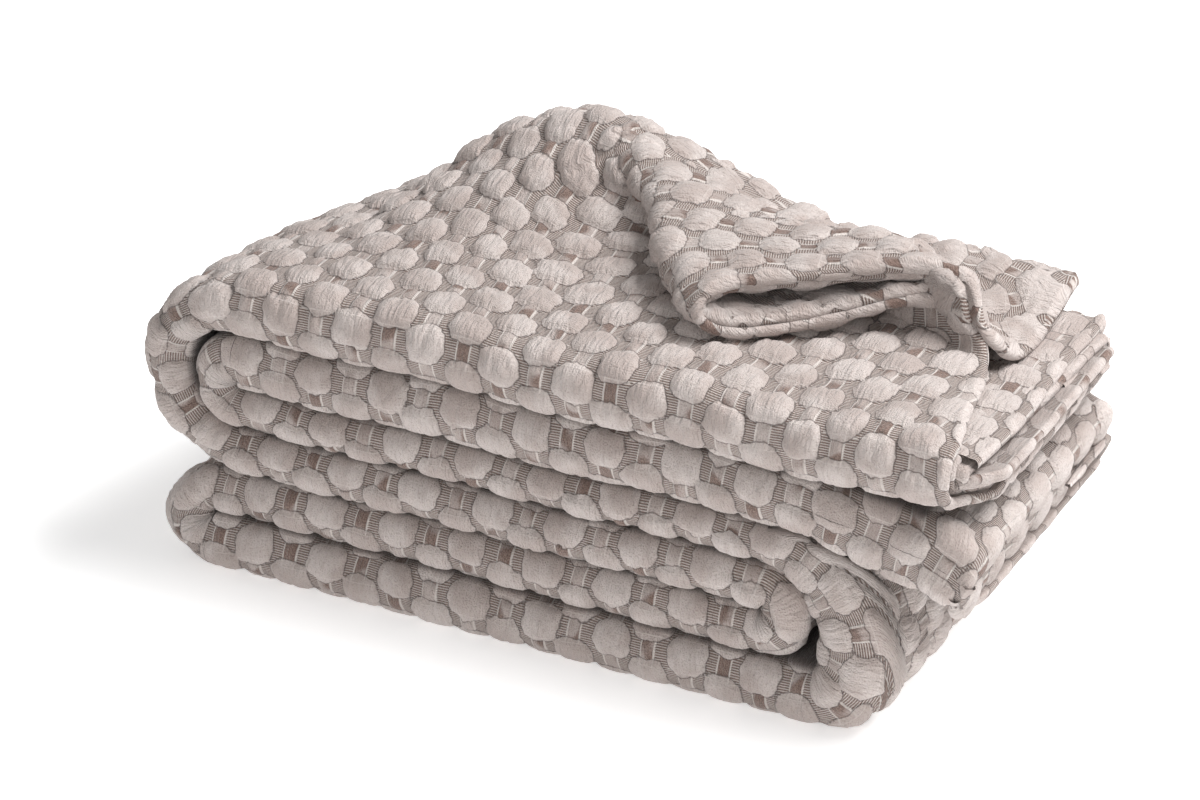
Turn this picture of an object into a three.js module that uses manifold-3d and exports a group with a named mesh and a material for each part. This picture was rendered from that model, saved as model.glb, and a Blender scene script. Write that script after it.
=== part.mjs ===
// A matelasse quilt, folded: millimetres, +Z up, standing on z = 0.
// The quilt is first doubled over and over into a long strip with its last fold
// along the front, and the strip is then laid back and forth in six runs.
// The top layers of the last run are pulled up at the back into a soft pleat.
import * as THREE from 'three';
import { mergeVertices } from 'three/addons/utils/BufferGeometryUtils.js';
import Module from 'manifold-3d';

// Driving sizes of the folded strip
const DEPTH = 206;            // front fold to the back edges
const FRONT_ROUND = 15;       // how far the front fold takes to round over
const LAYER_GAP = 1.2;        // air between two runs, and between the strip's two legs
const SLOT_START = 34;        // depth at which the two legs part
const FRONT_FACE = 14;        // how far behind the front fold the legs lie fully flat
const BACK_FOLD = { lower: 12, upper: 8, nose: 5.5 }; // where each leg turns at the back, and its bulge
const LEVELS = [-LAYER_GAP / 2, 36, 67, 97, 124, 162, 202]; // heights of the creases between the runs

// The six runs from the floor up: how far each front fold stands back
const RUNS = [
  { name: 'floor run', front: 2 },
  { name: 'second run', front: 5 },
  { name: 'third run', front: 4 },
  { name: 'fourth run', front: 5 },
  { name: 'fifth run', front: 3 },
  { name: 'top run', front: 0 },
];

// The turns: where the bend ends, its reach, its thickness, how much further it starts,
// and how sharply its thickness gathers in the middle
const OUTER_LEFT = { x: 58, reach: 49, thick: 28, lead: 0, gather: 0.7 };
const INNER_LEFT = { x: 56, reach: 16, thick: 29, lead: 0, gather: 0.7 };
const FLOOR_LEFT = { x: 34, reach: 16.5, thick: 31, lead: 0, gather: 0.7 };
const INNER_RIGHT = { x: 391, reach: 15.2, thick: 28.5, lead: 0, gather: 0.7 };
const OUTER_RIGHT = { x: 396, reach: 41, thick: 50, lead: 28, gather: 1.4 };

// The free ends: the top run stops, the fifth run droops over the right-hand turn
const TOP_END = 505;
const DROOP = { x: 400, radius: 284, angle: 25, thick: 46, swell: 6, ledge: 6 };
const END_FAN = 12;           // how much further the top run reaches at the back
const END_LEDGE = 17;         // how much further its lower leg reaches than its upper one
const LEDGE = { from: 12, blend: 26 }; // depth behind which the lower legs stand out at the ends

// The top layers, which lift off the rest of the top run
const TOP_SHEET = 9;          // two layers of cloth
const BED_TOP = 191.8;        // what they lie on
const LIFT_START = 66;        // the lifted layers begin here, past the left turn
const LIFT_BLEND = 36;

// How the left end is pulled askew and sinks towards the back
const SKEW = { shift: 40, until: 260 };
const SINK = { drop: 18, until: 170 };
const CORNER = { drop: 9, until: 110, from: 140 };
const TUCK = { shift: 13, until: 90, from: 18, full: 64, top: 78 }; // the lower left fold's upper side
const WAVE = { height: 1.6, length: 150 };

// The lifted layers: each row is a station from the left turn to the hem, and each
// column a line that runs along them, as x, y and z of the cloth's middle.
// From the wall to the foot the lines close up into the pleat, nose foremost.
const LINES = [
  'front', 'middle', 'valley', 'wall', 'shoulder', 'ceiling', 'lip', 'nose',
  'brow', 'hump', 'behind', 'foot', 'back',
];
const STATIONS = [
  { name: 'left', front: [62, 16, 197], middle: [62, 45, 197.5], valley: [62, 85, 197.5],
    wall: [62, 100, 197.5], shoulder: [62, 112, 197.5], ceiling: [62, 124, 197.5], lip: [62, 136, 197.5],
    nose: [62, 147, 197.5], brow: [62, 158, 197.5], hump: [62, 169, 197.5], behind: [62, 181, 197.5],
    foot: [62, 193, 197.5], back: [62, 206, 197.5] },
  { name: 'slope', front: [130, 16, 197.5], middle: [129, 50, 199.5], valley: [127, 92, 203.5],
    wall: [126, 106, 206.5], shoulder: [126, 118, 209.5], ceiling: [126, 130, 212.5], lip: [126, 141, 215.5],
    nose: [126, 152, 218], brow: [127, 162, 222], hump: [127, 172, 227], behind: [128, 184, 230],
    foot: [129, 195, 230.5], back: [130, 206, 229] },
  { name: 'peak', front: [200, 16, 197.5], middle: [199, 55, 200.5], valley: [197, 100, 207.5],
    wall: [196, 122, 215], shoulder: [196, 138, 224], ceiling: [196, 150, 232], lip: [197, 160, 240],
    nose: [199, 170, 247], brow: [201, 178, 252], hump: [203, 186, 254], behind: [206, 193, 250],
    foot: [208, 199, 246], back: [210, 206, 241] },
  { name: 'roll', front: [305, 16, 197.5], middle: [303, 68, 201.5], valley: [309, 150, 207],
    wall: [306, 160, 213], shoulder: [300, 166, 219], ceiling: [284, 160, 222], lip: [266, 149, 228],
    nose: [259, 143, 235], brow: [266, 150, 239], hump: [298, 172, 226], behind: [322, 182, 216],
    foot: [338, 191, 209], back: [352, 206, 204] },
  { name: 'mouth', front: [415, 16, 197.5], middle: [410, 62, 199.5], valley: [420, 122, 200],
    wall: [414, 132, 208], shoulder: [398, 138, 222], ceiling: [352, 116, 217], lip: [304, 96, 218],
    nose: [292, 90, 227], brow: [306, 101, 234], hump: [392, 142, 238], behind: [420, 152, 232],
    foot: [432, 164, 210], back: [436, 206, 208] },
  { name: 'hem', front: [505, 16, 198.5], middle: [497, 52, 199.5], valley: [486, 100, 199.5],
    wall: [477, 114, 216], shoulder: [450, 118, 230], ceiling: [400, 94, 220], lip: [350, 58, 214.5],
    nose: [331, 52, 225], brow: [352, 76, 235.5], hump: [438, 118, 242], behind: [475, 119, 236],
    foot: [494, 126, 203], back: [496, 206, 207] },
];

// How finely the shapes are divided
const STEPS = { frontFold: 6, turn: 9, tightTurn: 7, run: 5, droop: 6, along: 4, across: 3 };

// The cloth's finish, a pale greige cotton
const COTTON = { color: 0xc4b9b2, roughness: 0.95, metalness: 0 };

const wasm = await Module();
wasm.setup();

const smooth = (v) => {
  const u = Math.min(1, Math.max(0, v));
  return u * u * (3 - 2 * u);
};

// The unevenness of the whole pile, so that neighbouring layers move together
function settle(x, y, z) {
  const back = Math.max(0, y) / DEPTH;
  const high = Math.min(1, Math.max(0, z) / LEVELS[6]);
  const left = smooth(1 - x / SKEW.until);
  const sink = SINK.drop * back ** 1.5 * smooth(1 - x / SINK.until) * high
    + CORNER.drop * smooth(1 - x / CORNER.until) * smooth((z - CORNER.from) / (LEVELS[6] - CORNER.from));
  const wave = WAVE.height * high * Math.sin((2 * Math.PI * (x + 0.4 * y)) / WAVE.length);
  const tuck = TUCK.shift * smooth(1 - x / TUCK.until)
    * smooth((z - TUCK.from) / (TUCK.full - TUCK.from)) * smooth((TUCK.top - z) / (TUCK.top - TUCK.full));
  return new THREE.Vector3(
    x + SKEW.shift * back ** 1.6 * left + tuck,
    y,
    z - sink + wave,
  );
}

// A closed solid through a row of like loops of points, with its ends filled
function loft(loops, ends) {
  const count = loops[0].length;
  const positions = loops.flat().flatMap((p) => [p.x, p.y, p.z]);
  const index = [];
  for (let i = 0; i + 1 < loops.length; i += 1) {
    for (let j = 0; j < count; j += 1) {
      const a = i * count + j;
      const b = i * count + ((j + 1) % count);
      index.push(a, b, b + count, a, b + count, a + count);
    }
  }
  const last = (loops.length - 1) * count;
  for (const [a, b, c] of ends) {
    index.push(a, c, b);
    index.push(last + a, last + b, last + c);
  }
  const geometry = new THREE.BufferGeometry();
  geometry.setAttribute('position', new THREE.Float32BufferAttribute(positions, 3));
  geometry.setIndex(index);
  return geometry;
}

function toManifold(geometry) {
  const merged = mergeVertices(geometry, 1e-4);
  return new wasm.Manifold(new wasm.Mesh({
    numProp: 3,
    vertProperties: Float32Array.from(merged.attributes.position.array),
    triVerts: Uint32Array.from(merged.index.array),
  }));
}

function fromManifold(solid) {
  const mesh = solid.getMesh();
  const geometry = new THREE.BufferGeometry();
  geometry.setAttribute('position', new THREE.BufferAttribute(mesh.vertProperties, 3));
  geometry.setIndex(new THREE.BufferAttribute(mesh.triVerts, 1));
  return geometry;
}

// A run's middle height, thickness and front, by its number from the floor
function runAt(number) {
  const low = LEVELS[number];
  const high = LEVELS[number + 1];
  return { z: (low + high) / 2, thick: high - low - LAYER_GAP, front: RUNS[number].front };
}

// A place on a straight run
function pointOn(number, x) {
  return { ...runAt(number), x };
}

// A straight run between two places, with or without its first point
function straight(number, fromX, toX, first = true) {
  const start = first ? 0 : 1;
  return Array.from({ length: STEPS.run + 1 - start }, (_, i) => (
    pointOn(number, THREE.MathUtils.lerp(fromX, toX, (i + start) / STEPS.run))
  ));
}

// Half an ellipse from one run to the next; side is -1 at the left, 1 at the right
function turn(fromNumber, toNumber, bend, side, steps) {
  const a = runAt(fromNumber);
  const b = runAt(toNumber);
  const middle = (a.z + b.z) / 2;
  const half = (a.z - b.z) / 2;
  return Array.from({ length: steps - 1 }, (_, i) => {
    const share = (i + 1) / steps;
    const angle = share * Math.PI;
    const run = share < 0.5 ? a : b;
    const blend = Math.sin(angle) ** bend.gather;
    return {
      x: bend.x + bend.lead * (1 - share) + side * bend.reach * Math.sin(angle),
      z: middle + half * Math.cos(angle),
      thick: THREE.MathUtils.lerp(run.thick, bend.thick, blend),
      front: THREE.MathUtils.lerp(a.front, b.front, share),
    };
  });
}

// The last stretch of the fifth run, bent down over the right-hand turn.
// It swells downwards, into the hollow beside the turn.
function droop() {
  const run = runAt(4);
  return Array.from({ length: STEPS.droop }, (_, i) => {
    const share = (i + 1) / STEPS.droop;
    const angle = THREE.MathUtils.degToRad(DROOP.angle) * share;
    const swell = DROOP.swell * Math.sin(Math.PI * share) ** 4;
    return {
      x: DROOP.x + DROOP.radius * Math.sin(angle),
      z: run.z - DROOP.radius * (1 - Math.cos(angle)) - swell / 2,
      thick: THREE.MathUtils.lerp(run.thick, DROOP.thick, smooth(share)) + swell,
      front: run.front,
      ledge: -DROOP.ledge * smooth((share - 0.3) / 0.7),
    };
  });
}

// The strip's centre line from the top run's free end to the drooping end
function centreLine() {
  return [
    { ...pointOn(5, TOP_END), fan: END_FAN, ledge: END_LEDGE },
    ...straight(5, TOP_END, OUTER_LEFT.x, false),
    ...turn(5, 2, OUTER_LEFT, -1, STEPS.turn),
    ...straight(2, OUTER_LEFT.x, INNER_RIGHT.x),
    ...turn(2, 1, INNER_RIGHT, 1, STEPS.tightTurn),
    ...straight(1, INNER_RIGHT.x, FLOOR_LEFT.x),
    ...turn(1, 0, FLOOR_LEFT, -1, STEPS.tightTurn),
    ...straight(0, FLOOR_LEFT.x, OUTER_RIGHT.x + OUTER_RIGHT.lead),
    ...turn(0, 3, OUTER_RIGHT, 1, STEPS.turn),
    ...straight(3, OUTER_RIGHT.x, INNER_LEFT.x),
    ...turn(3, 4, INNER_LEFT, -1, STEPS.tightTurn),
    ...straight(4, INNER_LEFT.x, DROOP.x),
    ...droop(),
  ];
}

// The strip's section, as pairs of offset from the centre line and depth.
// It is a front fold with two legs, open at the back; each leg ends in a fold.
function section(point, lifted) {
  const half = point.thick / 2;
  const slot = LAYER_GAP / 2;
  const upper = THREE.MathUtils.lerp(half, BED_TOP - runAt(5).z, lifted);
  const front = point.front + FRONT_ROUND;
  const middle = DEPTH / 2;
  const turnOf = (height, share) => slot + (height - slot) * share;
  const points = [];
  for (let i = 0; i <= STEPS.frontFold; i += 1) {
    const angle = Math.PI * (i / STEPS.frontFold - 0.5);
    points.push([half * Math.sin(angle), point.front + FRONT_ROUND * (1 - Math.cos(angle))]);
  }
  const leg = (height, back, side) => [
    [side * height, front + FRONT_FACE],
    [side * height, middle],
    [side * height, DEPTH - back],
    [side * turnOf(height, 0.8), DEPTH - back + BACK_FOLD.nose],
    [side * turnOf(height, 0.2), DEPTH - back + BACK_FOLD.nose],
    [side * slot, DEPTH - back],
    [side * slot, middle],
    [side * slot, SLOT_START],
  ];
  points.push([half, front + FRONT_FACE / 3]);
  points.push(...leg(upper, BACK_FOLD.upper, 1));
  points.push(...leg(half, BACK_FOLD.lower, -1).reverse());
  return points;
}

// Triangles that fill a section, all turned the way its points run
function fillOutline(pairs) {
  const outline = pairs.map(([offset, depth]) => new THREE.Vector2(depth, offset));
  const area = ([a, b, c]) => THREE.ShapeUtils.area([outline[a], outline[b], outline[c]]);
  const whole = THREE.ShapeUtils.area(outline);
  return THREE.ShapeUtils.triangulateShape(outline, [])
    .map(([a, b, c]) => (area([a, b, c]) * whole > 0 ? [a, b, c] : [a, c, b]));
}

// The whole strip as one solid
function makeStrip() {
  const path = centreLine();
  const loops = path.map((point, i) => {
    const before = path[Math.max(0, i - 1)];
    const after = path[Math.min(path.length - 1, i + 1)];
    const along = new THREE.Vector2(after.x - before.x, after.z - before.z).normalize();
    const normal = new THREE.Vector2(along.y, -along.x);
    const onTop = point.z > LEVELS[5];
    const lifted = onTop ? smooth((point.x - LIFT_START) / LIFT_BLEND) : 0;
    return section(point, lifted).map(([offset, depth]) => {
      const { fan = 0, ledge = 0 } = point;
      const low = smooth((-2 * Math.sign(ledge) * offset) / point.thick)
        * smooth((depth - LEDGE.from) / LEDGE.blend);
      const out = THREE.MathUtils.lerp((fan * depth) / DEPTH, Math.abs(ledge), low);
      return settle(point.x + normal.x * offset + out, depth, point.z + normal.y * offset);
    });
  });
  return toManifold(loft(loops, fillOutline(section(path[0], 1))));
}

// The middle of the lifted layers: rows of points, one row for each step along them
function makeSheetGrid() {
  const across = (station) => {
    const curve = new THREE.CatmullRomCurve3(
      LINES.map((line) => new THREE.Vector3(...station[line])), false, 'catmullrom', 0.5,
    );
    return Array.from({ length: (LINES.length - 1) * STEPS.across + 1 }, (_, i) => (
      curve.getPoint(i / ((LINES.length - 1) * STEPS.across))
    ));
  };
  const columns = STATIONS.map(across);
  const rows = (STATIONS.length - 1) * STEPS.along + 1;
  const lines = columns[0].map((_, j) => (
    new THREE.CatmullRomCurve3(columns.map((column) => column[j]), false, 'catmullrom', 0.5)
  ));
  return Array.from({ length: rows }, (_, i) => lines.map((line) => line.getPoint(i / (rows - 1))));
}

// The lifted layers as a solid of their thickness
function makeTopLayers() {
  const grid = makeSheetGrid();
  const rows = grid.length;
  const columns = grid[0].length;
  const normalAt = (i, j) => {
    const down = grid[Math.min(rows - 1, i + 1)][j].clone().sub(grid[Math.max(0, i - 1)][j]);
    const over = grid[i][Math.min(columns - 1, j + 1)].clone().sub(grid[i][Math.max(0, j - 1)]);
    return down.cross(over).normalize();
  };
  const face = (row, i, side) => row.map((point, j) => (
    point.clone().addScaledVector(normalAt(i, j), (side * TOP_SHEET) / 2)
  ));
  const loops = grid.map((row, i) => (
    [...face(row, i, -1), ...face(row, i, 1).reverse()].map((p) => settle(p.x, p.y, p.z))
  ));
  const last = 2 * columns - 1;
  const ends = Array.from({ length: columns - 1 }, (_, j) => (
    [[j, j + 1, last - 1 - j], [j, last - 1 - j, last - j]]
  )).flat();
  return toManifold(loft(loops, ends));
}

const quilt = new THREE.Group();
const cloth = fromManifold(makeStrip().add(makeTopLayers()));
cloth.computeBoundingBox();
const { min, max } = cloth.boundingBox;
cloth.translate(-(min.x + max.x) / 2, -(min.y + max.y) / 2, -min.z);
const mesh = new THREE.Mesh(cloth, new THREE.MeshStandardMaterial(COTTON));
mesh.name = 'quilt';
quilt.add(mesh);

export default quilt;
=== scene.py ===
"""A matelasse quilt, folded into a soft pile: its cloth, puffs, hems and studio.

The cloth is laid out in millimetres on the same centre line, section and stations
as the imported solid, and is then moved into the frame in metres.
"""

from __future__ import annotations

import logging
import math
from dataclasses import dataclass, field
from enum import Enum
from typing import Callable

import bmesh
import bpy
import numpy as np
from mathutils import Matrix, Vector

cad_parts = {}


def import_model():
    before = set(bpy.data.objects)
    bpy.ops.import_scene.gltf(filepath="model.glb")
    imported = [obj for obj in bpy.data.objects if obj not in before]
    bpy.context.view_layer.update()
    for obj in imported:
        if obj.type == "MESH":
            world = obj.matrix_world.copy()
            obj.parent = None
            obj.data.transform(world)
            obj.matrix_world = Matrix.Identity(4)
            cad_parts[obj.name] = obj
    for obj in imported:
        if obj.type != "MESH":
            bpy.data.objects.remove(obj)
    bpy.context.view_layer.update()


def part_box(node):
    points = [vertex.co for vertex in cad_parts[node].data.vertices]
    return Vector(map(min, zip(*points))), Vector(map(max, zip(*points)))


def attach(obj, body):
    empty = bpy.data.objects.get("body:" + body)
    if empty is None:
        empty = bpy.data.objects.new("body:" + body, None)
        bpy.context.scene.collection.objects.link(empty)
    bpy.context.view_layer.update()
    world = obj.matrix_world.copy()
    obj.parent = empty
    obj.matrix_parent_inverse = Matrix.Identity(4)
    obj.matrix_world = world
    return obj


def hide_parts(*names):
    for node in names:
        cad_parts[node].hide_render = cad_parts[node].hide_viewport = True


Array = np.ndarray
Socket = bpy.types.NodeSocket
Log = logging.getLogger("quilt")

MM = 0.001
NODE = "quilt"
LOW_CORNER = (-3.384, 0.0, 0.0)  # the solid's lowest corner in the drawing's own millimetres


# Sizes of the folded strip, in millimetres, and shares of its height and depth

DEPTH = 206.0
FRONT_ROUND = 15.0
LAYER_GAP = 1.2
BACK_UPPER, BACK_LOWER, BACK_NOSE = 8.0, 12.0, 5.5
LEVELS = (-LAYER_GAP / 2, 36.0, 67.0, 97.0, 124.0, 162.0, 202.0)
FRONTS = (2.0, 5.0, 4.0, 5.0, 3.0, 0.0)
TOP_END = 505.0
END_FAN = 12.0
END_LEDGE = 17.0
END_REACH = 90.0
LEDGE_FROM, LEDGE_BLEND = 12.0, 26.0
TUCK_SHIFT, TUCK_UNTIL, TUCK_FROM, TUCK_FULL, TUCK_TOP = 13.0, 90.0, 18.0, 64.0, 78.0
TOP_SHEET = 9.0
BED_TOP = 191.8
LIFT_START, LIFT_BLEND = 66.0, 36.0
SKEW_SHIFT, SKEW_UNTIL, SKEW_POWER = 40.0, 260.0, 1.6
SINK_DROP, SINK_UNTIL, SINK_POWER = 18.0, 170.0, 1.5
CORNER_DROP, CORNER_UNTIL, CORNER_FROM = 9.0, 110.0, 140.0
WAVE_HEIGHT, WAVE_LENGTH, WAVE_SLANT = 1.6, 150.0, 0.4

# Stations of the lifted layers, each with x, y, z on these lines: front, middle, valley,
# wall, shoulder, ceiling, lip, nose, brow, hump, behind, foot and back
STATIONS: dict[str, tuple[tuple[float, float, float], ...]] = {
    "left": (
        (62, 16, 197), (62, 45, 197.5), (62, 85, 197.5), (62, 100, 197.5), (62, 112, 197.5),
        (62, 124, 197.5), (62, 136, 197.5), (62, 147, 197.5), (62, 158, 197.5),
        (62, 169, 197.5), (62, 181, 197.5), (62, 193, 197.5), (62, 206, 197.5),
    ),
    "slope": (
        (130, 16, 197.5), (129, 50, 199.5), (127, 92, 203.5), (126, 106, 206.5),
        (126, 118, 209.5), (126, 130, 212.5), (126, 141, 215.5), (126, 152, 218),
        (127, 162, 222), (127, 172, 227), (128, 184, 230), (129, 195, 230.5), (130, 206, 229),
    ),
    "peak": (
        (200, 16, 197.5), (199, 55, 200.5), (197, 100, 207.5), (196, 122, 215), (196, 138, 224),
        (196, 150, 232), (197, 160, 240), (199, 170, 247), (201, 178, 252), (203, 186, 254),
        (206, 193, 250), (208, 199, 246), (210, 206, 241),
    ),
    "roll": (
        (305, 16, 197.5), (303, 68, 201.5), (309, 150, 207), (306, 160, 213), (300, 166, 219),
        (284, 160, 222), (266, 149, 228), (259, 143, 235), (266, 150, 239), (298, 172, 226),
        (322, 182, 216), (338, 191, 209), (352, 206, 204),
    ),
    "mouth": (
        (415, 16, 197.5), (410, 62, 199.5), (420, 122, 200), (414, 132, 208), (398, 138, 222),
        (352, 116, 217), (304, 96, 218), (292, 90, 227), (306, 101, 234), (392, 142, 238),
        (420, 152, 232), (432, 164, 210), (436, 206, 208),
    ),
    "hem": (
        (505, 16, 198.5), (497, 52, 199.5), (486, 100, 199.5), (477, 114, 216), (450, 118, 230),
        (400, 94, 220), (350, 58, 214.5), (331, 52, 225), (352, 76, 235.5), (438, 118, 242),
        (475, 119, 236), (494, 126, 203), (496, 206, 207),
    ),
}


@dataclass(frozen=True)
class Bend:
    """A turn of the strip: where it ends, its reach, its thickness and how much further it starts."""

    x: float
    reach: float
    thick: float
    lead: float = 0.0
    gather: float = 0.7


OUTER_LEFT = Bend(58.0, 49.0, 28.0)
INNER_LEFT = Bend(56.0, 16.0, 29.0)
FLOOR_LEFT = Bend(34.0, 16.5, 31.0)
INNER_RIGHT = Bend(391.0, 15.2, 28.5)
OUTER_RIGHT = Bend(396.0, 41.0, 50.0, 28.0, 1.4)
DROOP_X, DROOP_RADIUS, DROOP_ANGLE = 400.0, 284.0, 25.0
DROOP_THICK, DROOP_SWELL, DROOP_LEDGE, DROOP_LEDGE_FROM = 46.0, 6.0, 6.0, 0.3


class Stretch(Enum):
    """The stretches of the strip, in the order of its centre line."""

    TOP = "top run"
    OUTER_LEFT = "outer left turn"
    THIRD = "third run"
    INNER_RIGHT = "inner right turn"
    SECOND = "second run"
    FLOOR_LEFT = "floor left turn"
    FLOOR = "floor run"
    OUTER_RIGHT = "outer right turn"
    FOURTH = "fourth run"
    INNER_LEFT = "inner left turn"
    FIFTH = "fifth run"
    DROOP = "droop"


class Side(Enum):
    """The side of a run that is open and shows."""

    LOWER = -1
    NEITHER = 0
    UPPER = 1


def smooth(value: Array | float) -> Array:
    """A soft step from 0 to 1."""
    u = np.clip(value, 0.0, 1.0)
    return u * u * (3.0 - 2.0 * u)


def settle(points: Array) -> Array:
    """Moves points as the whole pile leans, sinks and waves.

    Args:
        points: positions in millimetres, on the last axis.

    Returns:
        The moved positions, shaped as the given ones.
    """
    x, y, z = points[..., 0], points[..., 1], points[..., 2]
    back = np.maximum(0.0, y) / DEPTH
    high = np.clip(z / LEVELS[6], 0.0, 1.0)
    wave = WAVE_HEIGHT * high * np.sin(2.0 * np.pi * (x + WAVE_SLANT * y) / WAVE_LENGTH)
    lean = SKEW_SHIFT * back**SKEW_POWER * smooth(1.0 - x / SKEW_UNTIL)
    tuck = smooth((z - TUCK_FROM) / (TUCK_FULL - TUCK_FROM))
    tuck = tuck * smooth((TUCK_TOP - z) / (TUCK_TOP - TUCK_FULL))
    lean = lean + TUCK_SHIFT * tuck * smooth(1.0 - x / TUCK_UNTIL)
    sink = SINK_DROP * back**SINK_POWER * smooth(1.0 - x / SINK_UNTIL) * high
    sink = sink + CORNER_DROP * smooth(1.0 - x / CORNER_UNTIL) * smooth(
        (z - CORNER_FROM) / (LEVELS[6] - CORNER_FROM)
    )
    return np.stack([x + lean, y, z - sink + wave], axis=-1)


def run_at(number: int) -> tuple[float, float, float]:
    """Middle height, thickness and front of a run, by its number from the floor."""
    low, high = LEVELS[number], LEVELS[number + 1]
    return (low + high) / 2.0, high - low - LAYER_GAP, FRONTS[number]


def catmull(points: Array, steps: int) -> Array:
    """A smooth line through points, with even steps between neighbours.

    Args:
        points: the points, on the first axis.
        steps: divisions between two points.

    Returns:
        The line's points, on the first axis.
    """
    padded = np.concatenate([2 * points[:1] - points[1:2], points, 2 * points[-1:] - points[-2:-1]])
    where = np.arange((len(points) - 1) * steps + 1) / steps
    index = np.minimum(where.astype(int), len(points) - 2)
    u = (where - index).reshape((-1,) + (1,) * (points.ndim - 1))
    a, b, c, d = (padded[index + k] for k in range(4))
    m, n = (c - a) / 2.0, (d - b) / 2.0
    return (
        (2 * b - 2 * c + m + n) * u**3 + (-3 * b + 3 * c - 2 * m - n) * u**2 + m * u + b
    )


def along(points: Array, axis: int) -> Array:
    """Cumulative distance between neighbouring points.

    Args:
        points: positions, on the last axis.
        axis: the axis that it goes along.

    Returns:
        Distances from 0.
    """
    step = np.linalg.norm(np.diff(points, axis=axis), axis=-1)
    start = np.zeros_like(np.take(step, [0], axis=axis))
    return np.concatenate([start, np.cumsum(step, axis=axis)], axis=axis)


def normals_of(points: Array) -> Array:
    """Unit normals of a grid of points.

    Args:
        points: positions, columns by rows by 3.

    Returns:
        The normals, in the same shape.
    """
    cross = np.cross(np.gradient(points, axis=0), np.gradient(points, axis=1))
    size = np.linalg.norm(cross, axis=-1, keepdims=True)
    return cross / np.maximum(size, 1e-9)


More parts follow.
